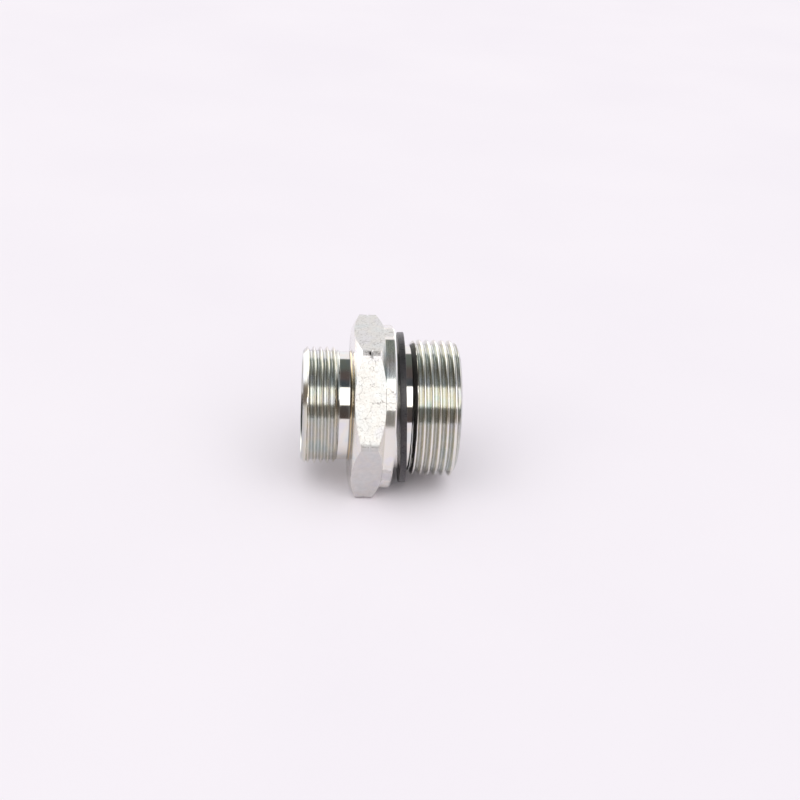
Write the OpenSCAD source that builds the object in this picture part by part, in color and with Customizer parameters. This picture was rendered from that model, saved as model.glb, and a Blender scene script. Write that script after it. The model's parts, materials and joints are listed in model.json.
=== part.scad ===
// Male stud adapter for hydraulic tube: a one-piece forged and turned steel body with a hexagon,
// and a loose flat sealing ring on the neck behind its stud thread. The axis lies along X, with the
// tube end towards -X and the stud towards +X. The origin is on the axis, at the collar's sealing
// face. The body lies on one of its hexagon flats.

/* [Tube end] */
// Outer diameter of the thread that takes the union nut
tube_thread_d = 36; // [35.5:0.1:38]
// Pitch of that thread, a 60 degree metric form
tube_pitch = 2; // [1.8:0.1:2.2]
// Length of the tube end, from its mouth to the hexagon
tube_end_l = 14.9; // [13.8:0.1:18]
// How far the plain neck between that thread and the hexagon lies below the crests
tube_neck_depth = 1.35; // [1.3:0.05:1.6]
// Length of that neck at its full depth
tube_neck_l = 4; // [3.5:0.1:5]
// Radius of the fillet between that neck and the hexagon
tube_neck_fillet = 1.1; // [0.5:0.1:2]
// Width of the 45 degree lead-in at the mouth
tube_lead = 1.4; // [0.75:0.05:1.75]

/* [Tube socket] */
// Wall between the tube that the socket takes and the thread's crests
socket_wall = 4; // [3.75:0.05:5]
// Width of the sealing cone, seen from the mouth
cone_w = 1.15; // [0.75:0.05:1.5]
// Included angle of the sealing cone
cone_angle = 24; // [20:1:30]
// Depth of the tube stop below the mouth
tube_stop_depth = 7.8; // [6.5:0.1:11]
// Width of the tube stop, from the tube's outside to the bore that runs through the body
tube_stop_w = 2; // [1.5:0.25:6]
// Depth of the edge break at the bore's stud end
bore_edge = 0.4; // [0.2:0.1:1]

/* [Hexagon and collar] */
// Distance across the hexagon's flats
hex_af = 49.4; // [48:0.1:50.5]
// Diameter across the hexagon's blunt corners
hex_corner_d = 56.3; // [55.5:0.1:57]
// Length of the hexagon with both its chamfers
hex_l = 9.2; // [8.4:0.1:14]
// Radial width of the chamfer on the hexagon's tube side
hex_chamfer_w = 3.7; // [3:0.1:6]
// Angle of that chamfer, measured from a plane square to the axis
hex_chamfer_angle = 30; // [20:1:35]
// Angle of the chamfer on the stud side, which runs down to the collar
collar_chamfer_angle = 33; // [25:1:38]
// How far the turned collar, which the forged flats cut into, lies inside the hexagon's corners
collar_inset = 3.05; // [2.5:0.05:3.5]
// Length of the collar
collar_l = 3.2; // [2:0.1:5]
// Width of the bevel on the collar's sealing edge
collar_bevel = 0.5; // [0.2:0.1:1]

/* [Stud end] */
// Outer diameter of the stud's pipe thread
stud_thread_d = 41.91; // [41.5:0.01:43]
// Pitch of the pipe thread, a 55 degree form with 11 turns to the inch
stud_pitch = 2.309; // [2.2:0.001:2.4]
// Length of the stud, from the sealing face to its end
stud_l = 19.9; // [19.2:0.1:26]
// How far the neck that carries the sealing ring lies below the crests
stud_neck_depth = 1.755; // [1.655:0.05:2.455]
// Length of that neck at its full depth
stud_neck_l = 5.1; // [5:0.1:6]
// Radial width of the lead-in chamfer at the stud's end
stud_lead = 2.05; // [0.95:0.05:2.2]
// Length of that lead-in along the axis
stud_lead_l = 1.2; // [0.8:0.1:2.2]

/* [Sealing ring] */
// Thickness of the ring along the axis
ring_t = 2.2; // [1.8:0.1:2.3]
// Width of the ring's flat face, from its hole to its rim
ring_w = 3.8; // [2.5:0.1:4]
// Gap all round between the neck and the ring's hole
ring_gap = 0.2; // [0.15:0.01:0.3]
// Edge break round the ring
ring_edge = 0.15; // [0.05:0.05:0.4]
// Distance from the collar's sealing face to the middle of the loose ring
ring_standoff = 2.8; // [2.4:0.05:2.95]
// Angle that the loose ring leans, with its lower side away from the collar
ring_lean = 2.8; // [0:0.1:2.9]

/* [Hidden] */
$fn = 120;
// How far a cutting solid passes a face
over = 1;
// Half the flank angle of each thread, and its depth as a share of the pitch
metric_flank = 30;
metric_depth = 0.6134;
pipe_flank = 27.5;
pipe_depth = 0.6403;
// Width of a thread's crest as a share of the pitch
crest_share = 1 / 8;
// The wall between the stud's neck and its thread, measured from a plane square to the axis
stud_wall_angle = 30;
// Gap left at the highest point, where the ring hangs on the neck
ring_touch = 0.02;

// Diameters that follow the two threads
tube_neck_d = tube_thread_d - 2 * tube_neck_depth;
tube_lead_d = tube_thread_d - 2 * tube_lead;
tube_d = tube_thread_d - 2 * socket_wall;
cone_mouth_d = tube_d + 2 * cone_w;
bore_d = tube_d - 2 * tube_stop_w;
stud_neck_d = stud_thread_d - 2 * stud_neck_depth;
stud_lead_d = stud_thread_d - 2 * stud_lead;

// Places along the axis
face_x = 0;
collar_x = face_x - collar_l;
hex_x = collar_x - hex_l;
mouth_x = hex_x - tube_end_l;
stud_end_x = face_x + stud_l;
tube_thread_end_x = hex_x - tube_neck_l;
stud_thread_x = face_x + stud_neck_l;
tube_stop_x = mouth_x + tube_stop_depth;

// Diameters of the collar, and of the plain ring inside the chamfer on the hexagon's tube side
collar_d = hex_corner_d - 2 * collar_inset;
hex_face_d = hex_corner_d - 2 * hex_chamfer_w;
cone_l = cone_w / tan(cone_angle / 2);

// The ring's own sizes follow the neck that it hangs on
ring_r = stud_neck_d / 2 + ring_gap;
// The lean narrows the hole as the neck sees it, and the ring drops by what is left
ring_free = ring_r * cos(ring_lean) - ring_t / 2 * sin(ring_lean) - stud_neck_d / 2;
ring_drop = max(0, ring_free - ring_touch);
ring_x = face_x + ring_standoff;

// Turns a half outline, given as radius and place along the axis, about the X axis
module turned() {
    rotate([0, 90, 0])
        rotate_extrude()
            children();
}

// Half outline of a truncated V thread between two places: crests stand one pitch apart, counted
// back from the place of the first crest, and each flank leans by the flank angle
module thread_outline(from_x, to_x, first_crest, pitch, crest_d, depth, flank) {
    root_r = crest_d / 2 - depth;
    half_crest = pitch * crest_share / 2;
    half_foot = half_crest + depth * tan(flank);
    turns = floor((to_x - from_x) / pitch) + 2;
    intersection() {
        union() {
            translate([0, from_x])
                square([root_r, to_x - from_x]);
            for (i = [-1 : turns])
                translate([0, first_crest + i * pitch])
                    polygon([
                        [0, -half_foot],
                        [root_r, -half_foot],
                        [crest_d / 2, -half_crest],
                        [crest_d / 2, half_crest],
                        [root_r, half_foot],
                        [0, half_foot]
                    ]);
        }
        translate([0, from_x])
            square([crest_d, to_x - from_x]);
    }
}

// Half outline of the tube end, with a 45 degree lead-in at the mouth and a 45 degree run-out
module tube_end_outline() {
    depth = metric_depth * tube_pitch;
    intersection() {
        thread_outline(mouth_x, tube_thread_end_x, mouth_x + tube_pitch / 2, tube_pitch,
            tube_thread_d, depth, metric_flank);
        polygon([
            [0, mouth_x],
            [tube_lead_d / 2, mouth_x],
            [tube_thread_d / 2, mouth_x + tube_lead],
            [tube_thread_d / 2, tube_thread_end_x - tube_neck_depth],
            [tube_neck_d / 2, tube_thread_end_x],
            [0, tube_thread_end_x]
        ]);
    }
    translate([0, tube_thread_end_x])
        square([tube_neck_d / 2, hex_x - tube_thread_end_x + over]);
    neck_fillet_outline();
}

// The hollow fillet where the tube end's neck meets the hexagon
module neck_fillet_outline() {
    difference() {
        translate([tube_neck_d / 2 - over, hex_x - tube_neck_fillet])
            square([tube_neck_fillet + over, tube_neck_fillet + over]);
        translate([tube_neck_d / 2 + tube_neck_fillet, hex_x - tube_neck_fillet])
            circle(r = tube_neck_fillet);
    }
}

// Half outline of the stud: its neck, the wall where the thread starts, and the lead-in
module stud_outline() {
    wall = stud_neck_depth * tan(stud_wall_angle);
    depth = pipe_depth * stud_pitch;
    // The last whole crest stands just inside the lead-in
    last_crest = stud_end_x - stud_lead_l - stud_pitch * 0.303;
    turns = floor((last_crest - stud_thread_x) / stud_pitch);
    intersection() {
        thread_outline(stud_thread_x, stud_end_x, last_crest - turns * stud_pitch, stud_pitch,
            stud_thread_d, depth, pipe_flank);
        polygon([
            [0, stud_thread_x],
            [stud_neck_d / 2, stud_thread_x],
            [stud_thread_d / 2, stud_thread_x + wall],
            [stud_thread_d / 2, stud_end_x - stud_lead_l],
            [stud_lead_d / 2, stud_end_x],
            [0, stud_end_x]
        ]);
    }
    translate([0, face_x - over])
        square([stud_neck_d / 2, stud_neck_l + over]);
}

// Half outline that the lathe leaves of the forged hexagon: a chamfer each side, then the collar
module hex_turning_outline() {
    polygon([
        [0, hex_x],
        [hex_face_d / 2, hex_x],
        [hex_corner_d / 2, hex_x + hex_chamfer_w * tan(hex_chamfer_angle)],
        [hex_corner_d / 2, collar_x - collar_inset * tan(collar_chamfer_angle)],
        [collar_d / 2, collar_x],
        [collar_d / 2, face_x - collar_bevel],
        [collar_d / 2 - collar_bevel, face_x],
        [0, face_x]
    ]);
}

// The forged hexagon runs on under the collar, so each flat leaves a strip across it
module forged_hexagon() {
    intersection() {
        translate([hex_x, 0, 0])
            rotate([0, 90, 0])
                rotate([0, 0, 30])
                    cylinder(h = hex_l + collar_l, d = hex_af / cos(30), $fn = 6);
        turned() hex_turning_outline();
    }
}

// The sealing cone, the tube's seat and its stop, and the bore that runs on through the stud
module bores() {
    turned() {
        polygon([
            [0, mouth_x - over],
            [cone_mouth_d / 2 + over * tan(cone_angle / 2), mouth_x - over],
            [tube_d / 2, mouth_x + cone_l],
            [tube_d / 2, tube_stop_x],
            [bore_d / 2, tube_stop_x],
            [bore_d / 2, stud_end_x - bore_edge],
            [bore_d / 2 + bore_edge + over, stud_end_x + over],
            [0, stud_end_x + over]
        ]);
    }
}

module body() {
    color("gainsboro")
        difference() {
            union() {
                turned() tube_end_outline();
                forged_hexagon();
                turned() stud_outline();
            }
            bores();
        }
}

// The loose ring leans on the neck, with its top nearest to the collar
module seal_ring() {
    color("dimgray")
        translate([ring_x, 0, -ring_drop])
            rotate([0, -ring_lean, 0])
                turned()
                    polygon([
                        [ring_r, -ring_t / 2],
                        [ring_r + ring_w - ring_edge, -ring_t / 2],
                        [ring_r + ring_w, -ring_t / 2 + ring_edge],
                        [ring_r + ring_w, ring_t / 2 - ring_edge],
                        [ring_r + ring_w - ring_edge, ring_t / 2],
                        [ring_r, ring_t / 2]
                    ]);
}

body();
seal_ring();
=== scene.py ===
"""Looks of a male stud adapter fitting: a zinc-plated steel body with cut threads, and a loose
black sealing ring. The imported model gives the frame. Every size is in millimetres along the
fitting's X axis, with the origin at the collar's sealing face, until a mesh is made."""

import json
import math

import bmesh
import bpy
import numpy as np
from mathutils import Matrix, Vector


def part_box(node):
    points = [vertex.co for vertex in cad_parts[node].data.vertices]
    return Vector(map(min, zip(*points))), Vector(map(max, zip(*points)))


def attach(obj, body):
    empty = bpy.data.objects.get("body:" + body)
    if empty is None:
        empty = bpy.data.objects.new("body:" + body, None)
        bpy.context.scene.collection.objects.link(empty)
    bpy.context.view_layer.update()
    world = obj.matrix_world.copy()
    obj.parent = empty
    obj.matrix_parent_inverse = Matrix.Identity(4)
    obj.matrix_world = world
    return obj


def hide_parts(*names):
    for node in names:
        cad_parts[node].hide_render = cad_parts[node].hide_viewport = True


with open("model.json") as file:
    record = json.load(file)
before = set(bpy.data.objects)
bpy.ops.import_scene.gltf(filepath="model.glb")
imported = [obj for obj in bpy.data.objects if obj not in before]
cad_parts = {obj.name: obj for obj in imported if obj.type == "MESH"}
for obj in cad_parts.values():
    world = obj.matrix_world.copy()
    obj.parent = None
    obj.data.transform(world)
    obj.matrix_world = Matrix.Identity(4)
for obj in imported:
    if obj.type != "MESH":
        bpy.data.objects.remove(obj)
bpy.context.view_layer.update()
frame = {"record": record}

MM = 0.001
MOUNTS = {m["name"]: m["dims"] for m in frame["record"]["mounts"]}
BODY_LOW, BODY_HIGH = (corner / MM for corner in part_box("body"))

# Places along the axis
MOUTH_X = BODY_LOW.x
STUD_END_X = BODY_HIGH.x
FACE_X = 0.0
COLLAR_X = -3.2
HEX_X = -12.4
TUBE_NECK_X = HEX_X - 4.0
STUD_THREAD_X = 5.03
TUBE_STOP_X = MOUTH_X + 7.8

# Radii
TUBE_THREAD_R = MOUNTS["tube_thread"]["r_mm"]
STUD_THREAD_R = MOUNTS["stud_thread"]["r_mm"]
BORE_R = MOUNTS["flow_bore"]["r_mm"]
SOCKET_R = MOUNTS["tube_socket"]["r_mm"]
FLAT_R = -BODY_LOW.z
CORNER_R = BODY_HIGH.y
TUBE_NECK_R = 16.65
TUBE_LEAD_R = 16.6
CONE_MOUTH_R = 15.15
HEX_FACE_R = 24.45
COLLAR_R = 25.1
STUD_NECK_R = 19.2
STUD_LEAD_R = 18.905

# Smaller features
TUBE_PITCH = 2.0
STUD_PITCH = 2.309
TUBE_DEPTH = 0.6134 * TUBE_PITCH
STUD_DEPTH = 0.6403 * STUD_PITCH
TUBE_FLANK = 30.0
STUD_FLANK = 27.5
TUBE_CREST_ROUND = 0.1
STUD_CREST_ROUND = 0.37
NECK_FILLET = 1.1
COLLAR_BEVEL = 0.5
BORE_EDGE = 0.4
STUD_LEAD_L = 1.2
TUBE_LEAD_L = 1.25
EDGE_ROUND = 0.14
FOOT_ROUND = 0.3
CONE_END_X = MOUTH_X + (CONE_MOUTH_R - SOCKET_R) / math.tan(math.radians(12))
LEAD_BACK_SLOPE = 1.7
CHAMFER_SLOPE = math.tan(math.radians(30))
COLLAR_CHAMFER_SLOPE = math.tan(math.radians(33))
STUD_WALL_SLOPE = 1 / math.tan(math.radians(40))
STUD_LEAD_SLOPE = (STUD_THREAD_R - STUD_LEAD_R) / STUD_LEAD_L

# Where a crest of each right-hand thread passes the front of the fitting
TUBE_CREST_X = -23.455
STUD_CREST_X = 8.87

# The loose ring, as it hangs on the neck: it leans to the left at its top and is turned a little
RING_X = 3.1
RING_DROP = 0.103
RING_LEAN = 3.0
RING_SWING = -1.4
RING_HOLE_R = 19.4
RING_RIM_R = 23.2
RING_T = 1.98
RING_EDGE = 0.25
RING_HOLE_EDGE = 0.15
# How far the rim bends along the axis, and half of the most that it sinks
RING_BEND = 0.06
RING_SINK = 0.03

# Angles round the axis are in degrees from the front, -Y, upwards; flats face -90, -30, 30, ...
SIDES = 6
SECTOR = 360.0 / SIDES
FIRST_FLAT = -90.0
STRIP_R = 24.94
STRIP_HALF = math.degrees(math.acos(STRIP_R / COLLAR_R))
CORNER_HALF = SECTOR / 2 - math.degrees(math.acos(FLAT_R / CORNER_R))
# How far the edges of the forged strips across the collar stand from even ones, in degrees: the
# upper edge of each strip at the hexagon and at the bevel, and the lower edge
STRIP_UPPER = [(1.0, -1.0), (2.0, 0.5), (4.6, -1.7), (-1.0, 2.0), (1.5, 0.0), (0.5, -2.0)]
STRIP_LOWER = 0.7
STRIP_RAGGED = 0.7

# Angle over which a strip's shift fades out on the collar, and the length over which it starts
# from the hexagon's even edge
STRIP_FADE = 14.0
STRIP_START = 0.4

FORGED_DEPTH = 0.05
# Share of a flat's length at each end over which its skin settles to the chamfer's edge
FORGED_END = 1 / 6
# Depth of the nick in the middle of each corner, from the one under the front and round, its
# length as a share of the corner's, and its reach round the corner
NICKS = np.array([0.3, 0.25, 0.75, 0.3, 0.45, 0.2])
NICK_LENGTH = 0.04
NICK_REACH = 1.1

TURNED_FACES = 0
FORGED_FACES = 1

# In metres and degrees: points this close are joined, shorter edges go, and steeper edges are sharp
JOIN_DISTANCE = 2e-6
LEAST_EDGE = 1e-6
SHARP_ANGLE = 34.0


def waves(seed, count, shortest, longest):
    """Random plane waves, whose sum is a smooth uneven pattern in space."""
    rng = np.random.default_rng(seed)
    direction = rng.normal(size=(count, 3))
    direction /= np.linalg.norm(direction, axis=1)[:, None]
    length = np.exp(rng.uniform(math.log(shortest), math.log(longest), count))
    return direction * (2 * math.pi / length)[:, None], rng.uniform(0, 2 * math.pi, count)


def uneven(points, pattern):
    """The pattern's height at each point, about -1 to 1."""
    direction, phase = pattern
    usual_peak = 1.4 * math.sqrt(len(phase))
    return np.sin(points @ direction.T + phase).sum(-1) / usual_peak


FORGED = waves(11, 24, 1.8, 8.0)
RAGGED = waves(12, 16, 0.9, 3.0)
RING_WAVE = waves(13, 12, 8.0, 30.0)


def place(x, r, turn):
    """Points from places along the axis, radii and angles round it."""
    angle = np.radians(turn)
    return np.stack([x + 0 * angle, -r * np.cos(angle), r * np.sin(angle)], -1)


def column_angles():
    """Angles of the columns once round, with closer ones where the hexagon has edges."""
    edge = SECTOR / 2 - CORNER_HALF
    strip = np.linspace(-STRIP_HALF, STRIP_HALF, 13)
    side = np.linspace(STRIP_HALF, edge, 14)[1:]
    one = np.concatenate([-side[::-1], strip, side, [SECTOR / 2]])
    turns = np.concatenate([FIRST_FLAT + i * SECTOR + one for i in range(SIDES)])
    return np.append(turns, turns[0] + 360)


TURN = column_angles()
# Angle of each column from the middle of its flat
OFF = (TURN + SECTOR / 2 - FIRST_FLAT) % SECTOR - SECTOR / 2


class Rows:
    """Rows of points along the fitting's outline, each a place, radius and angle per column."""

    def __init__(self):
        self.x, self.r, self.turn, self.forged = [], [], [], []

    def add(self, x, r, turn=TURN, forged=False):
        """Adds one row. Where forged is true, the face from this row to the next is forged."""
        self.x.append(x + 0 * TURN)
        self.r.append(r + 0 * TURN)
        self.turn.append(turn)
        self.forged.append(np.zeros(len(TURN), bool) | forged)

    def line(self, *points, reach=EDGE_ROUND, steps=3):
        """Adds a run of straight pieces whose corners are eased by short curves."""
        path = [np.stack([p[0] + 0 * TURN, p[1] + 0 * TURN], -1) for p in points]
        self.add(*path[0].T)
        for before, corner, after in zip(path, path[1:], path[2:]):
            start = corner + (before - corner) * share_of(before - corner, reach)
            end = corner + (after - corner) * share_of(after - corner, reach)
            for t in np.linspace(0, 1, steps + 1):
                point = start * (1 - t) ** 2 + corner * 2 * t * (1 - t) + end * t ** 2
                self.add(*point.T)
        self.add(*path[-1].T)

    def arc(self, centre_x, centre_r, radius, start, end, steps):
        """Adds an arc, whose angles are measured from +X towards larger radii."""
        for a in np.radians(np.linspace(start, end, steps + 1)):
            self.add(centre_x + radius * math.cos(a), centre_r + radius * math.sin(a))


def share_of(run, reach):
    """How much of a straight piece a corner's curve takes, at most nearly half."""
    length = np.linalg.norm(run, axis=-1, keepdims=True)
    return np.minimum(reach / np.maximum(length, 1e-9), 0.45)


def thread_profile(pitch, crest_r, depth, flank, crest_round):
    """One pitch of a V thread with round crests and roots: offsets from the crest, and radii."""
    lean = math.radians(flank)
    rounds = (pitch / 2 - depth * math.tan(lean)) / (
        math.cos(lean) - (1 - math.sin(lean)) * math.tan(lean))
    root_round = rounds - crest_round
    sweep = np.linspace(0, math.pi / 2 - lean, 4)
    crest = np.stack([crest_round * np.sin(sweep),
                      crest_r - crest_round * (1 - np.cos(sweep))], -1)
    root = np.stack([pitch / 2 - root_round * np.sin(sweep[::-1]),
                     crest_r - depth + root_round * (1 - np.cos(sweep[::-1]))], -1)
    flank_points = [crest[-1] * (1 - t) + root[0] * t for t in (0.25, 0.5, 0.75)]
    half = np.concatenate([crest, flank_points, root])
    left = half[::-1] * [-1, 1]
    points = np.concatenate([left[:-1], half[:-1]])
    return points[:, 0], points[:, 1]


def add_thread(rows, profile, pitch, crest_x, from_x, to_x, limit, filled):
    """Adds a right-hand thread, cut off at both its ends, under a limit and over what is filled."""
    lowest = math.floor((from_x - crest_x) / pitch + TURN.min() / 360) - 1
    highest = math.ceil((to_x - crest_x) / pitch + TURN.max() / 360) + 1
    snap = 0.02
    for step in range(lowest, highest + 1):
        for offset, radius in zip(*profile):
            x = crest_x + step * pitch + offset - pitch * TURN / 360
            if (x < from_x).all() or (x > to_x).all():
                continue
            x = np.where(x < from_x + snap, from_x, x)
            x = np.where(x > to_x - snap, to_x, x)
            rows.add(x, np.minimum(np.maximum(radius, filled(x)), limit(x)))


def tube_limit(x):
    """Largest radius of the tube end: a lead-in at the mouth and a run-out at the neck."""
    return np.minimum(TUBE_LEAD_R + (x - MOUTH_X), TUBE_NECK_R + (TUBE_NECK_X - x))


def tube_filled(x):
    """Least radius of the tube end: the thread starts only past the lead-in's cone."""
    past = x - (MOUTH_X + TUBE_LEAD_L)
    return np.where(past < 0, TUBE_THREAD_R, TUBE_LEAD_R + TUBE_LEAD_L - past * LEAD_BACK_SLOPE)


def stud_limit(x):
    """Largest radius of the stud: the wall at its neck and a lead-in at its end."""
    wall = STUD_NECK_R + (x - STUD_THREAD_X) * STUD_WALL_SLOPE
    return np.minimum(wall, STUD_LEAD_R + (STUD_END_X - x) * STUD_LEAD_SLOPE)


def add_tube_end(rows):
    """The tube's stop, socket, cone and mouth, the thread outside, and the neck with its fillet."""
    rows.line((TUBE_STOP_X, BORE_R), (TUBE_STOP_X, SOCKET_R), (CONE_END_X, SOCKET_R),
              (MOUTH_X, CONE_MOUTH_R), (MOUTH_X, TUBE_LEAD_R))
    profile = thread_profile(TUBE_PITCH, TUBE_THREAD_R, TUBE_DEPTH, TUBE_FLANK, TUBE_CREST_ROUND)
    add_thread(rows, profile, TUBE_PITCH, TUBE_CREST_X, MOUTH_X, TUBE_NECK_X, tube_limit,
               tube_filled)
    rows.add(TUBE_NECK_X, TUBE_NECK_R)
    rows.arc(HEX_X - NECK_FILLET, TUBE_NECK_R + NECK_FILLET, NECK_FILLET, -90, 0, 8)


def forging(x, r):
    """How far the forged skin lies under its ideal shape, never above it."""
    return FORGED_DEPTH * (0.5 - 0.5 * np.clip(uneven(place(x, r, TURN), FORGED), -1, 1))


def add_hexagon(rows):
    """The hexagon: a turned chamfer each side of the forged flats and blunt corners."""
    plain = np.minimum(FLAT_R / np.cos(np.radians(OFF)), CORNER_R)
    # The skin's depth at each chamfer's edge is taken at one place near it
    left_r = plain - forging(HEX_X + 2, plain)
    left = HEX_X + (left_r - HEX_FACE_R) * CHAMFER_SLOPE
    right_r = plain - forging(COLLAR_X - 1, plain)
    strip = np.abs(OFF) < STRIP_HALF + 0.01
    right = np.where(strip, COLLAR_X, COLLAR_X - (right_r - COLLAR_R) * COLLAR_CHAMFER_SLOPE)
    right_r = np.where(strip, np.minimum(right_r, COLLAR_R), right_r)
    rows.line((HEX_X, TUBE_NECK_R + NECK_FILLET), (HEX_X, HEX_FACE_R), (left, left_r))
    to_corner = np.radians(SECTOR / 2 - np.abs(OFF)) * CORNER_R
    middle = 0.5 + np.array([-0.12, -0.07, -0.045, -0.02, 0, 0.02, 0.045, 0.07, 0.12])
    corner = np.round((TURN - FIRST_FLAT) / SECTOR - 0.5).astype(int) % SIDES
    for t in np.concatenate([np.linspace(0, 0.3, 5), middle, np.linspace(0.7, 1, 5)]):
        x = left + (right - left) * t
        skin = plain - forging(x, plain)
        near_left, near_right = max(0, 1 - t / FORGED_END), max(0, 1 - (1 - t) / FORGED_END)
        skin = skin * (1 - near_left - near_right) + left_r * near_left + right_r * near_right
        nick = NICKS[corner] * np.exp(-((t - 0.5) / NICK_LENGTH) ** 2
                                      - (to_corner / NICK_REACH) ** 4)
        rows.add(x, skin - nick, forged=t < 1)
    return right_r


def strip_shift(x):
    """How far round the columns move at one place on the collar, for the ragged forged strips."""
    along = min(1, max(0, (x - COLLAR_X) / (FACE_X - COLLAR_X)))
    flat = np.round((TURN - OFF - FIRST_FLAT) / SECTOR).astype(int) % SIDES
    first, last = np.array(STRIP_UPPER)[flat].T
    edges = []
    for side, even in ((-1, STRIP_LOWER + 0 * TURN), (1, first * (1 - along) + last * along)):
        point = place(x, COLLAR_R, TURN - OFF + side * STRIP_HALF)
        edges.append(even + STRIP_RAGGED * np.clip(uneven(point, RAGGED), -1, 1))
    across = np.clip((OFF + STRIP_HALF) / (2 * STRIP_HALF), 0, 1)
    fade = np.clip(1 - (np.abs(OFF) - STRIP_HALF) / STRIP_FADE, 0, 1)
    ramp = min(1, max(0, (x - COLLAR_X) / STRIP_START))
    return ramp * fade * (edges[0] * (1 - across) + edges[1] * across)


def add_collar(rows, start_r):
    """The turned collar with the forged strips across it, its bevel and its sealing face."""
    skin = np.minimum(STRIP_R / np.cos(np.radians(OFF)), COLLAR_R)
    strip = (np.abs(OFF) < STRIP_HALF + 0.01) & (np.abs(np.roll(OFF, -1)) < STRIP_HALF + 0.01)
    bevel = FACE_X - COLLAR_BEVEL + (COLLAR_R - skin)
    blend = np.array([0, 0.05, 0.12, 0.2, 0.3, 0.4, 0.5, 0.6, 0.7, 0.8, 0.9, 1])
    for t in blend:
        x = COLLAR_X + (bevel - COLLAR_X) * t
        r = skin if t else np.minimum(start_r, skin)
        at = COLLAR_X + (FACE_X - COLLAR_BEVEL - COLLAR_X) * t
        turn = TURN + strip_shift(at)
        # Nothing stands past the planes of the top and bottom flats
        upright = np.abs(np.sin(np.radians(turn)))
        r = np.minimum(r, FLAT_R / np.maximum(upright, 0.1))
        rows.add(x, r, turn=turn, forged=strip if t < 1 else False)
    rows.line((FACE_X, COLLAR_R - COLLAR_BEVEL), (FACE_X, STUD_NECK_R),
              (STUD_THREAD_X, STUD_NECK_R), reach=FOOT_ROUND)


def add_stud(rows):
    """The stud's thread, its end face, and the bore back to the tube's stop."""
    profile = thread_profile(STUD_PITCH, STUD_THREAD_R, STUD_DEPTH, STUD_FLANK, STUD_CREST_ROUND)
    add_thread(rows, profile, STUD_PITCH, STUD_CREST_X, STUD_THREAD_X, STUD_END_X,
               stud_limit, np.zeros_like)
    rows.line((STUD_END_X, STUD_LEAD_R), (STUD_END_X, BORE_R + BORE_EDGE),
              (STUD_END_X - BORE_EDGE, BORE_R), (TUBE_STOP_X, BORE_R), reach=0.08)


def mesh_of(name, points, faces, face_kinds=None):
    """A mesh in metres from points in millimetres, with doubled points joined."""
    mesh = bpy.data.meshes.new(name)
    mesh.from_pydata((points * MM).tolist(), [], faces.tolist())
    if face_kinds is not None:
        mesh.polygons.foreach_set("material_index", face_kinds.astype(np.int32))
    work = bmesh.new()
    work.from_mesh(mesh)
    bmesh.ops.remove_doubles(work, verts=work.verts, dist=JOIN_DISTANCE)
    bmesh.ops.dissolve_degenerate(work, edges=work.edges, dist=LEAST_EDGE)
    bmesh.ops.recalc_face_normals(work, faces=work.faces)
    work.to_mesh(mesh)
    work.free()
    mesh.shade_smooth()
    mesh.set_sharp_from_angle(angle=math.radians(SHARP_ANGLE))
    return mesh


def grid_faces(columns, rows, wrap_columns=False, wrap_rows=False):
    """Quads over a grid of points that is stored column by column."""
    c = np.arange(columns if wrap_columns else columns - 1)
    r = np.arange(rows if wrap_rows else rows - 1)
    c, r = np.meshgrid(c, r, indexing="ij")
    c, r = c.ravel(), r.ravel()
    c2, r2 = (c + 1) % columns, (r + 1) % rows
    return np.stack([c * rows + r, c * rows + r2, c2 * rows + r2, c2 * rows + r], -1)


def add_piece(name, mesh, materials, node):
    """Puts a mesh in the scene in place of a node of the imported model."""
    piece = bpy.data.objects.new(name, mesh)
    bpy.context.scene.collection.objects.link(piece)
    for material in materials:
        mesh.materials.append(material)
    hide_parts(node)
    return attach(piece, "root")


def make_body():
    """The whole body as one closed mesh."""
    rows = Rows()
    add_tube_end(rows)
    start_r = add_hexagon(rows)
    add_collar(rows, start_r)
    add_stud(rows)
    x, r, turn = (np.stack(part, -1) for part in (rows.x, rows.r, rows.turn))
    forged = np.stack(rows.forged, -1)[:-1, :-1]
    kinds = np.where(forged, FORGED_FACES, TURNED_FACES).ravel()
    mesh = mesh_of("fitting_body", place(x, r, turn).reshape(-1, 3), grid_faces(*x.shape), kinds)
    return add_piece("fitting_body", mesh, [turned_zinc(), forged_zinc()], "body")


def ring_section():
    """Points round the ring's section, as places from its middle and radii, with round edges."""
    half_t = RING_T / 2
    corners = [(-half_t, RING_RIM_R, RING_EDGE), (half_t, RING_RIM_R, RING_EDGE),
               (half_t, RING_HOLE_R, RING_HOLE_EDGE), (-half_t, RING_HOLE_R, RING_HOLE_EDGE)]
    starts = [180, 90, 0, -90]
    points = []
    for (a, r, reach), start in zip(corners, starts):
        centre = (a - math.copysign(reach, a), r - (reach if r == RING_RIM_R else -reach))
        for angle in np.radians(np.linspace(start, start - 90, 5)):
            points.append((centre[0] + reach * math.cos(angle),
                           centre[1] + reach * math.sin(angle)))
    return np.array(points)


def make_ring():
    """The loose elastomer ring, leaning on the neck."""
    section = ring_section()
    turn = np.linspace(0, 360, 181)[:-1, None]
    at = place(section[:, 0], section[:, 1], turn)
    wave = uneven(at, RING_WAVE)
    rim = (section[:, 1] - RING_HOLE_R) / (RING_RIM_R - RING_HOLE_R)
    at = place(section[:, 0] + RING_BEND * wave * rim,
               section[:, 1] - RING_SINK * (1 + wave) * rim, turn)
    swing = Matrix.Rotation(math.radians(RING_SWING), 3, "Z")
    lean = Matrix.Rotation(math.radians(-RING_LEAN), 3, "Y")
    points = at @ np.array(swing @ lean).T + np.array([RING_X, 0, -RING_DROP])
    faces = grid_faces(len(turn), len(section), wrap_columns=True, wrap_rows=True)
    mesh = mesh_of("sealing_ring", points.reshape(-1, 3), faces)
    return add_piece("sealing_ring", mesh, [elastomer()], "seal_ring")


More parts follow.
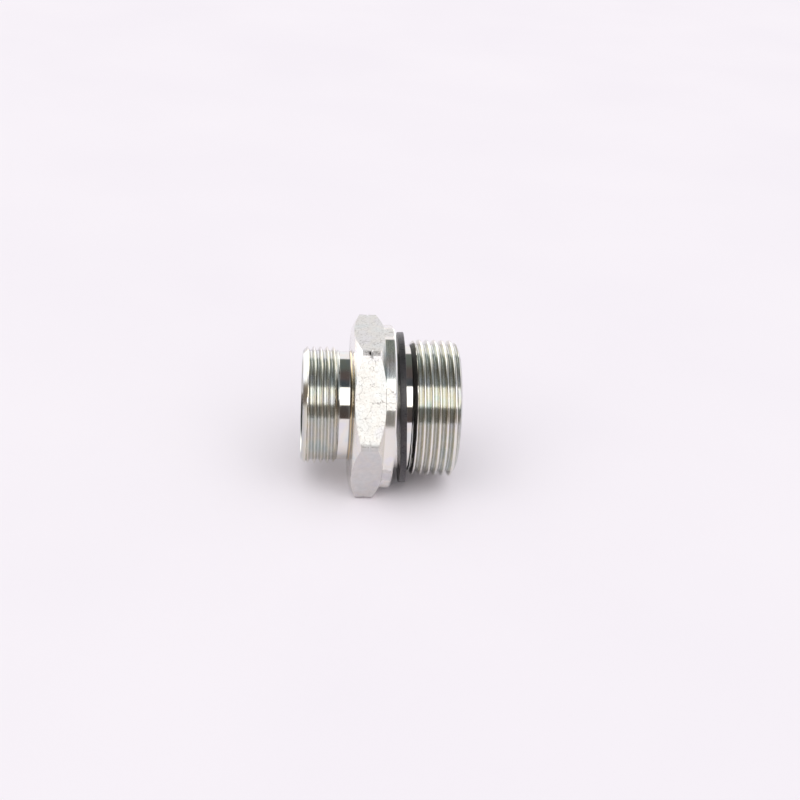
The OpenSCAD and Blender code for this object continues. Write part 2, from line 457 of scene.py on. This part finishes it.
class Nodes:
    """Short calls for building a node tree."""

    def __init__(self, tree):
        self.tree = tree
        self.tree.nodes.clear()

    def set(self, node, inputs):
        """Sets a node's inputs, or links them where the value is another node's output."""
        for key, value in inputs.items():
            if isinstance(value, bpy.types.NodeSocket):
                self.tree.links.new(value, node.inputs[key])
            else:
                node.inputs[key].default_value = value

    def new(self, kind, inputs=None, **settings):
        """A node with its settings made and its inputs set or linked."""
        node = self.tree.nodes.new(kind)
        for key, value in settings.items():
            setattr(node, key, value)
        self.set(node, inputs or {})
        return node

    def math(self, operation, a, b=0.0, c=0.0, clamp=False):
        """The result of a math node."""
        inputs = {0: a, 1: b, 2: c}
        return self.new("ShaderNodeMath", inputs, operation=operation, use_clamp=clamp).outputs[0]

    def rise(self, value, start, end):
        """How far a value is from start to end, as 0 to 1. End may be the lower one."""
        run = end - start
        return self.math("MULTIPLY_ADD", value, 1 / run, -start / run, clamp=True)

    def vector(self, operation, a, b=(0.0,) * 3, c=(0.0,) * 3):
        """The result of a vector math node."""
        node = self.new("ShaderNodeVectorMath", {0: a, 1: b, 2: c}, operation=operation)
        return node.outputs["Value" if operation == "LENGTH" else "Vector"]

    def split(self, vector):
        """The three parts of a vector."""
        return self.new("ShaderNodeSeparateXYZ", {0: vector}).outputs

    def join(self, x, y=0.0, z=0.0):
        """A vector from its parts."""
        return self.new("ShaderNodeCombineXYZ", {0: x, 1: y, 2: z}).outputs[0]

    def ramp(self, factor, stops):
        """The colour of a ramp with the given stops."""
        node = self.new("ShaderNodeValToRGB", {0: factor})
        elements = node.color_ramp.elements
        while len(elements) < len(stops):
            elements.new(1.0)
        for element, (position, colour) in zip(elements, stops):
            element.position = position
            element.color = (*colour, 1.0)
        return node.outputs[0]

    def mix(self, factor, a, b, blend="MIX"):
        """One colour mixed into another."""
        node = self.new("ShaderNodeMix", data_type="RGBA", blend_type=blend)
        a, b = (c if isinstance(c, bpy.types.NodeSocket) else (*c, 1.0) for c in (a, b))
        self.set(node, {0: factor, 6: a, 7: b})
        return node.outputs[2]

    def tint(self, colour, by):
        """One colour multiplied by another."""
        return self.mix(1.0, colour, by, blend="MULTIPLY")

    def noise(self, vector, scale, detail=2.0, roughness=0.5):
        """The value of a noise texture, about 0.5 in the middle."""
        inputs = {"Vector": vector, "Scale": scale, "Detail": detail, "Roughness": roughness}
        return self.new("ShaderNodeTexNoise", inputs).outputs[0]

    def bump(self, height, strength, distance):
        """A surface's normal, made uneven by a height."""
        inputs = {"Height": height, "Strength": strength, "Distance": distance}
        return self.new("ShaderNodeBump", inputs).outputs[0]


def grey(*stops):
    """Stops of a ramp from places and plain levels."""
    return [(position, (level,) * 3) for position, level in stops]


def new_material(name):
    """A material with an empty node tree, its object coordinates in millimetres, and shader."""
    material = bpy.data.materials.new(name)
    material.use_nodes = True
    nodes = Nodes(material.node_tree)
    coordinates = nodes.new("ShaderNodeTexCoord").outputs["Object"]
    position = nodes.vector("MULTIPLY", coordinates, (1 / MM,) * 3)
    shader = nodes.new("ShaderNodeBsdfPrincipled")
    nodes.new("ShaderNodeOutputMaterial", {"Surface": shader.outputs[0]})
    return material, nodes, position, shader


def round_axis(nodes, position):
    """Each point's place along the axis, and its radius."""
    axial, across, up = nodes.split(position)
    square = nodes.math("MULTIPLY_ADD", up, up, nodes.math("MULTIPLY", across, across))
    return axial, nodes.math("SQRT", square)


def zinc_colour(nodes, position):
    """Zinc with the faint yellow, green and violet of its passivated skin."""
    cloud = nodes.noise(position, scale=0.16, detail=3.0)
    return nodes.ramp(cloud, [
        (0.30, (0.74, 0.78, 0.77)),
        (0.42, (0.81, 0.81, 0.78)),
        (0.52, (0.83, 0.80, 0.74)),
        (0.62, (0.80, 0.79, 0.79)),
        (0.74, (0.78, 0.76, 0.80)),
    ])


# Painted shade in the fillet's hollow: tint of the zinc from the neck, 0, to the hexagon, 1
FILLET_SHADE_TINT = [
    (0.0, (1.0, 1.0, 1.0)),
    (0.05, (0.40, 0.38, 0.37)),
    (0.35, (0.46, 0.40, 0.34)),
    (0.55, (0.80, 0.64, 0.36)),
    (0.75, (0.45, 0.40, 0.36)),
    (1.0, (1.0, 1.0, 1.0)),
]

# Painted shade in the threads: tint of the zinc from a thread's crest, 0, to its root, 1
THREAD_SHADE_TINT = [
    (0.0, (1.0, 1.0, 1.0)),
    (0.10, (1.0, 0.98, 0.95)),
    (0.30, (0.84, 0.83, 0.76)),
    (0.75, (0.75, 0.765, 0.735)),
    (1.0, (0.69, 0.71, 0.72)),
]

# Least roughness of the turned parts
NECK_DULL = 0.02
TUBE_DULL = 0.10
COLLAR_DULL = 0.10
STUD_DULL = 0.07
# What the specks add to the roughness and to the height of the turning marks, and what the
# coarser feed marks add to that height on the collar
SPECKS_DULL = 0.10
SPECKS_HEIGHT = 0.3
FEED_HEIGHT = 20.0
# Share of the fitting's length over which one part's finish becomes the next's
FINISH_STEP = 0.01


def thread_depth(nodes, axial, radius):
    """How deep each point lies in its thread, from 0 at the crest to 1 at the root."""
    tube_depth = nodes.rise(radius, TUBE_THREAD_R, TUBE_THREAD_R - TUBE_DEPTH)
    stud_depth = nodes.rise(radius, STUD_THREAD_R, STUD_THREAD_R - STUD_DEPTH)
    in_tube = nodes.math("LESS_THAN", axial, TUBE_NECK_X)
    in_stud = nodes.math("GREATER_THAN", axial, STUD_THREAD_X)
    return nodes.math("MULTIPLY_ADD", in_tube, tube_depth,
                      nodes.math("MULTIPLY", in_stud, stud_depth))


def turned_zinc():
    """Bright zinc on turned steel: smoothest on the necks, dullest on the collar, and with painted
    shade that makes it darker, greener and yellower down in the threads and browner in the fillet."""
    material, nodes, position, shader = new_material("turned_zinc")
    axial, radius = round_axis(nodes, position)
    # Painted shade, darker towards each thread's root
    colour = nodes.tint(zinc_colour(nodes, position),
                        nodes.ramp(thread_depth(nodes, axial, radius), THREAD_SHADE_TINT))
    fillet = nodes.rise(axial, HEX_X - NECK_FILLET, HEX_X)
    # Painted shade in the fillet's hollow, with a golden band
    colour = nodes.tint(colour, nodes.ramp(fillet, FILLET_SHADE_TINT))
    neck, hexagon, face, stud = ((x - MOUTH_X) / (STUD_END_X - MOUTH_X) for x in (
        TUBE_NECK_X, HEX_X, FACE_X, STUD_THREAD_X))
    dull = nodes.ramp(nodes.rise(axial, MOUTH_X, STUD_END_X), grey(
        (neck, TUBE_DULL), (neck + FINISH_STEP, NECK_DULL),
        (hexagon - FINISH_STEP, NECK_DULL), (hexagon, COLLAR_DULL),
        (face - FINISH_STEP, COLLAR_DULL), (face, NECK_DULL),
        (stud, NECK_DULL), (stud + FINISH_STEP, STUD_DULL)))
    marks = nodes.noise(nodes.join(axial, radius), scale=4.0, detail=3.0, roughness=0.7)
    specks = nodes.noise(position, scale=2.2, detail=4.0, roughness=0.6)
    feed = nodes.noise(nodes.join(axial), scale=6.0)
    on_collar = nodes.math("GREATER_THAN", radius, STUD_THREAD_R + 1)
    height = nodes.math("MULTIPLY_ADD", specks, SPECKS_HEIGHT, marks)
    height = nodes.math("MULTIPLY_ADD", nodes.math("MULTIPLY", feed, on_collar), FEED_HEIGHT, height)
    nodes.set(shader, {
        "Metallic": 1.0,
        "Base Color": colour,
        "Roughness": nodes.math("MULTIPLY_ADD", specks, SPECKS_DULL, dull),
        "Normal": nodes.bump(height, strength=0.2, distance=0.00001),
    })
    return material


# The forged skin's own tone, and how much of it shows through the zinc's tints
FORGED_TONE = (0.80, 0.79, 0.79)
FORGED_SHARE = 0.45
# The skin's least roughness, what its clouds and the corners add, and what makes it uneven
FORGED_DULL = 0.26
CLOUDS_DULL = 0.2
CORNER_DULL = 0.3
GRIT_HEIGHT = 0.5
FLAWS_HEIGHT = 0.6
FLAW_COLOUR = (0.30, 0.27, 0.25)
SCUFF_COLOUR = (0.30, 0.28, 0.27)
NICK_SHADE_COLOUR = (0.05, 0.04, 0.04)
PLAIN = (1.0, 1.0, 1.0)
# Painted shade, black, in the nick in the middle of the upper corner: it is narrower along the
# axis, and the black goes over into the skin's colour between two distances
NICK_AT = (-8.1, -CORNER_R * math.cos(math.radians(60)), CORNER_R * math.sin(math.radians(60)))
NICK_STRETCH = (2.0, 1.0, 1.0)
NICK_SHADE_FADE = [(0.55, NICK_SHADE_COLOUR), (0.95, PLAIN)]
# Painted shade: below the first height the skin is darker and plainer, without its flaws; above
# the second it is lighter and shows its grit and flaws
SHADED_UNDER_Z = 0.15
UNSHADED_OVER_Z = 0.65
# The blunt corners lie beyond the second radius, and their wear fades out down to the first
CORNER_FROM = (CORNER_R - 0.2, CORNER_R - 0.075)
# How much of the scuffs the corners show on the lower side, under the painted shade, and above it
SCUFFS_SHADED = 0.08
SCUFFS_UNSHADED = 1.0


def forged_flaws(nodes, position):
    """Small pits, and hairline cracks that show in patches: 0 in a flaw and 1 elsewhere."""
    pits = nodes.ramp(nodes.noise(position, scale=2.5, detail=3.0, roughness=0.6),
                      grey((0.31, 0), (0.38, 1)))
    warp = nodes.new("ShaderNodeTexNoise", {"Vector": position, "Scale": 0.5, "Detail": 4.0})
    bent = nodes.vector("MULTIPLY_ADD", warp.outputs[1], (3.0,) * 3, position)
    cells = nodes.new("ShaderNodeTexVoronoi", {"Vector": bent, "Scale": 0.3},
                      feature="DISTANCE_TO_EDGE").outputs[0]
    cracks = nodes.ramp(cells, grey((0.004, 0), (0.018, 1)))
    hidden = nodes.ramp(nodes.noise(position, scale=0.3), grey((0.46, 1), (0.54, 0)))
    return nodes.tint(pits, nodes.mix(1.0, cracks, hidden, blend="SCREEN"))


def forged_zinc():
    """Zinc over the forged skin: duller, with fine grit, small pits and hairline cracks, and with
    painted shade on its lower side and in the nick at its upper corner.
    """
    material, nodes, position, shader = new_material("forged_zinc")
    _, radius = round_axis(nodes, position)
    height_z = nodes.split(position)[2]
    # How far a point lies above the painted shade of the lower side, 0 to 1
    unshaded_side = nodes.rise(height_z, SHADED_UNDER_Z, UNSHADED_OVER_Z)
    at_corner = nodes.rise(radius, *CORNER_FROM)
    grit = nodes.noise(position, scale=1.7, detail=4.0, roughness=0.7)
    clouds = nodes.noise(position, scale=0.7, detail=3.0)
    # Painted shade: darker clouds on the lower side, lighter grit above
    speckle_and_shade = nodes.mix(
        unshaded_side,
        nodes.ramp(clouds, [(0.35, (0.72, 0.71, 0.715)), (0.65, (0.79, 0.78, 0.785))]),
        nodes.ramp(grit, [(0.38, (0.81, 0.80, 0.79)), (0.54, (0.955, 0.95, 0.945))]))
    flaws = nodes.mix(unshaded_side, PLAIN, forged_flaws(nodes, position))
    scuffs = nodes.ramp(nodes.noise(position, scale=3.6, detail=5.0, roughness=0.75),
                        grey((0.44, 0), (0.56, 1)))
    shown = nodes.math("MULTIPLY_ADD", unshaded_side, SCUFFS_UNSHADED - SCUFFS_SHADED, SCUFFS_SHADED)
    scuffs = nodes.mix(nodes.math("MULTIPLY", at_corner, shown), PLAIN, scuffs)
    colour = nodes.mix(FORGED_SHARE, zinc_colour(nodes, position), FORGED_TONE)
    colour = nodes.tint(colour, speckle_and_shade)
    colour = nodes.mix(flaws, FLAW_COLOUR, colour)
    colour = nodes.mix(scuffs, SCUFF_COLOUR, colour)
    from_nick = nodes.vector("SUBTRACT", position, NICK_AT)
    from_nick = nodes.vector("LENGTH", nodes.vector("MULTIPLY", from_nick, NICK_STRETCH))
    rough = nodes.math("MULTIPLY_ADD", clouds, CLOUDS_DULL, FORGED_DULL)
    height = nodes.math("MULTIPLY_ADD", grit, GRIT_HEIGHT,
                        nodes.math("MULTIPLY", flaws, FLAWS_HEIGHT))
    nodes.set(shader, {
        "Metallic": 0.5,
        "Specular IOR Level": 0.3,
        # Painted shade in the upper corner's nick
        "Base Color": nodes.tint(colour, nodes.ramp(from_nick, NICK_SHADE_FADE)),
        "Roughness": nodes.math("MULTIPLY_ADD", at_corner, CORNER_DULL, rough, clamp=True),
        "Normal": nodes.bump(height, strength=0.5, distance=0.00004),
    })
    return material


RUBBER_DULL = 0.18
GRAIN_DULL = 0.22
# The grain is drawn out along the fitting's axis
GRAIN_STRETCH = (0.35, 1.0, 1.0)


def elastomer():
    """Black elastomer with moulding marks across its rim and paler rubbed patches."""
    material, nodes, position, shader = new_material("black_elastomer")
    colour = nodes.ramp(nodes.noise(position, scale=0.25, detail=4.0), [
        (0.35, (0.018, 0.017, 0.019)),
        (0.55, (0.028, 0.025, 0.028)),
        (0.72, (0.048, 0.039, 0.039)),
    ])
    stretched = nodes.vector("MULTIPLY", position, GRAIN_STRETCH)
    grain = nodes.noise(stretched, scale=3.0, detail=4.0, roughness=0.7)
    nodes.set(shader, {
        "Base Color": colour,
        "Roughness": nodes.math("MULTIPLY_ADD", grain, GRAIN_DULL, RUBBER_DULL),
        "Normal": nodes.bump(grain, strength=0.6, distance=0.0001),
    })
    return material


# The table ends a little outside the picture
FLOOR_FRONT = -700.0
FLOOR_BACK = 900.0
FLOOR_SIDE = 420.0
FLOOR_GAP = 0.02


def make_floor():
    """The pale table under the fitting."""
    z = BODY_LOW.z - FLOOR_GAP
    corners = [(-FLOOR_SIDE, FLOOR_FRONT, z), (FLOOR_SIDE, FLOOR_FRONT, z),
               (FLOOR_SIDE, FLOOR_BACK, z), (-FLOOR_SIDE, FLOOR_BACK, z)]
    mesh = bpy.data.meshes.new("floor")
    mesh.from_pydata([Vector(c) * MM for c in corners], [], [(0, 1, 2, 3)])
    floor = bpy.data.objects.new("floor", mesh)
    bpy.context.scene.collection.objects.link(floor)
    material, nodes, position, shader = new_material("pale_table")
    cloud = nodes.noise(position, scale=0.01)
    nodes.set(shader, {
        "Base Color": nodes.ramp(cloud, [(0.3, (0.93, 0.885, 0.94)), (0.7, (0.95, 0.905, 0.955))]),
        "Roughness": 0.8,
        "Specular IOR Level": 0.0,
    })
    mesh.materials.append(material)


# The studio that bright surfaces mirror, as strips from the front over the top to the back: in
# the middle, close beside that, and to each side. Each row is an angle from the front upwards,
# and a colour
WHITE = (1.06, 1.03, 1.07)
SOFTBOX = (2.25, 2.22, 2.15)
STUDIO_MIDDLE = [
    (-180, WHITE),
    (-4, (0.95, 0.90, 0.91)),
    (-1, (0.080, 0.060, 0.053)),
    (26, (0.070, 0.062, 0.060)),
    (29, SOFTBOX),
    (63, SOFTBOX),
    (65, (0.045, 0.057, 0.068)),
    (77, (0.060, 0.065, 0.075)),
    (84, (0.095, 0.075, 0.075)),
    (100, (0.100, 0.085, 0.082)),
    (112, (0.115, 0.130, 0.120)),
    (140, (0.140, 0.160, 0.150)),
    (144, WHITE),
    (180, WHITE),
]
STUDIO_NEAR = [
    (-180, (1.5, 1.48, 1.5)),
    (-4, (0.95, 0.92, 0.90)),
    (-1, (0.54, 0.52, 0.49)),
    (26, (0.57, 0.58, 0.57)),
    (29, (3.0, 3.0, 2.9)),
    (63, (3.0, 3.0, 2.9)),
    (66, (1.10, 1.16, 1.22)),
    (80, (0.84, 0.89, 0.94)),
    (95, (0.50, 0.53, 0.53)),
    (115, (0.60, 0.66, 0.62)),
    (140, (0.75, 0.82, 0.78)),
    (146, (1.6, 1.6, 1.6)),
    (180, (1.6, 1.6, 1.6)),
]
STUDIO_LEFT = [
    (-180, (1.5, 1.48, 1.5)),
    (-150, (1.1, 1.08, 1.1)),
    (-4, (0.80, 0.76, 0.76)),
    (2, (0.26, 0.21, 0.18)),
    (18, (0.16, 0.13, 0.12)),
    (30, (0.05, 0.045, 0.045)),
    (98, (0.06, 0.07, 0.07)),
    (112, (0.70, 0.70, 0.72)),
    (126, (2.3, 2.3, 2.28)),
    (180, (2.3, 2.3, 2.28)),
]
STUDIO_RIGHT = [
    (-180, (1.3, 1.28, 1.3)),
    (-4, (0.90, 0.85, 0.86)),
    (2, (0.30, 0.27, 0.25)),
    (24, (0.30, 0.26, 0.24)),
    (32, (1.30, 1.22, 1.18)),
    (62, (1.30, 1.25, 1.22)),
    (72, (0.20, 0.22, 0.22)),
    (115, (0.22, 0.24, 0.25)),
    (140, (0.80, 0.83, 0.92)),
    (180, (1.3, 1.28, 1.35)),
]
STUDIO_PEAK = 3.0
# Where the strips change over, as the share of a direction that goes to the right
MIDDLE_AT = 0.06
MIDDLE_TO_NEAR = (0.10, 0.18)
NEAR_TO_LEFT = (-0.15, -0.275)
NEAR_TO_RIGHT = (0.44776, 0.59701)
# Low down at the far left, the room is brown and grey
LEFT_LOW = (0.26, 0.215, 0.185)
FAR_LEFT = (-0.85, -0.93333)
LEFT_LOW_TOP = (0.32, 0.26)
# What lights dull surfaces: a plain glow, and a broad soft light above the front, whose share of
# its strength is given by angle from the front upwards, and by place across
AMBIENT = 0.42
KEY_STRENGTH = 1.8
KEY_HEIGHT = [(15, 0.0), (35, 1.0), (60, 1.0), (85, 0.35), (130, 0.0)]
KEY_WIDTH = [(-0.95, 0.0), (-0.5, 1.0), (0.4, 1.0), (0.9, 0.0)]
BACKDROP = (0.93, 0.885, 0.94)


def by_turn(angle):
    """An angle from -180 to 180 degrees as a place on a ramp."""
    return (angle + 180) / 360


def studio_strip(nodes, turn, stops):
    """One strip of the studio, whose colours may be brighter than white."""
    scaled = [(by_turn(a), tuple(c / STUDIO_PEAK for c in colour)) for a, colour in stops]
    return nodes.tint(nodes.ramp(turn, scaled), (STUDIO_PEAK,) * 3)


def mirrored_studio(nodes, rightward, up, turn):
    """The studio's strips, each in its own place."""
    middle, near, left, right = (studio_strip(nodes, turn, stops) for stops in (
        STUDIO_MIDDLE, STUDIO_NEAR, STUDIO_LEFT, STUDIO_RIGHT))
    aside = nodes.math("ABSOLUTE", nodes.math("SUBTRACT", rightward, MIDDLE_AT))
    low = nodes.math("MULTIPLY", nodes.math("GREATER_THAN", up, 0.0), nodes.rise(up, *LEFT_LOW_TOP))
    low_left = nodes.math("MULTIPLY", nodes.rise(rightward, *FAR_LEFT), low)
    left = nodes.mix(low_left, left, LEFT_LOW)
    studio = nodes.mix(nodes.rise(aside, *MIDDLE_TO_NEAR), middle, near)
    studio = nodes.mix(nodes.rise(rightward, *NEAR_TO_LEFT), studio, left)
    return nodes.mix(nodes.rise(rightward, *NEAR_TO_RIGHT), studio, right)


def soft_light(nodes, rightward, turn):
    """The light on dull surfaces."""
    key = nodes.ramp(turn, grey(*((by_turn(a), level) for a, level in KEY_HEIGHT)))
    across = nodes.rise(rightward, -1.0, 1.0)
    key = nodes.tint(key, nodes.ramp(across, grey(*(((x + 1) / 2, level) for x, level in KEY_WIDTH))))
    key = nodes.tint(key, (KEY_STRENGTH,) * 3)
    return nodes.mix(1.0, key, (AMBIENT,) * 3, blend="ADD")


def make_world():
    """A plain studio: its backdrop for the camera, and bands of light and dark for gloss."""
    world = bpy.data.worlds.new("studio")
    bpy.context.scene.world = world
    world.use_nodes = True
    nodes = Nodes(world.node_tree)
    rightward, back, up = nodes.split(nodes.new("ShaderNodeTexCoord").outputs["Generated"])
    angle = nodes.math("ARCTAN2", up, nodes.math("MULTIPLY", back, -1.0))
    turn = nodes.math("MULTIPLY_ADD", angle, 1 / (2 * math.pi), 0.5)
    rays = nodes.new("ShaderNodeLightPath").outputs
    colour = nodes.mix(rays["Is Glossy Ray"], soft_light(nodes, rightward, turn),
                       mirrored_studio(nodes, rightward, up, turn))
    colour = nodes.mix(rays["Is Camera Ray"], colour, BACKDROP)
    background = nodes.new("ShaderNodeBackground", {"Color": colour, "Strength": 1.0})
    nodes.new("ShaderNodeOutputWorld", {"Surface": background.outputs[0]})


# The photograph's viewpoint: angles are towards -X from the front, upwards, and tilted
LENS = 65.604
SENSOR = 36.0
CLIP_START = 0.01
CAMERA_TARGET = (2.835, 0.0, 2.308)
CAMERA_DISTANCE = 449.125
CAMERA_AZIMUTH = 5.562
CAMERA_ELEVATION = 26.366
CAMERA_ROLL = 4.009


def make_camera():
    """The camera at the photograph's viewpoint."""
    az, el, roll = (math.radians(a) for a in (CAMERA_AZIMUTH, CAMERA_ELEVATION, CAMERA_ROLL))
    back = Vector((-math.sin(az) * math.cos(el), -math.cos(az) * math.cos(el), math.sin(el)))
    right = Vector((0, 0, 1)).cross(back).normalized()
    up = back.cross(right)
    tilted_right = right * math.cos(roll) + up * math.sin(roll)
    tilted_up = up * math.cos(roll) - right * math.sin(roll)
    data = bpy.data.cameras.new("camera")
    data.lens = LENS
    data.sensor_width = SENSOR
    data.clip_start = CLIP_START
    camera = bpy.data.objects.new("camera", data)
    bpy.context.scene.collection.objects.link(camera)
    rotation = Matrix((tilted_right, tilted_up, back)).transposed().to_4x4()
    location = (Vector(CAMERA_TARGET) + back * CAMERA_DISTANCE) * MM
    camera.matrix_world = Matrix.Translation(location) @ rotation
    bpy.context.scene.camera = camera


make_camera()
make_world()
make_floor()
make_body()
make_ring()
bpy.context.scene.view_settings.view_transform = "Standard"
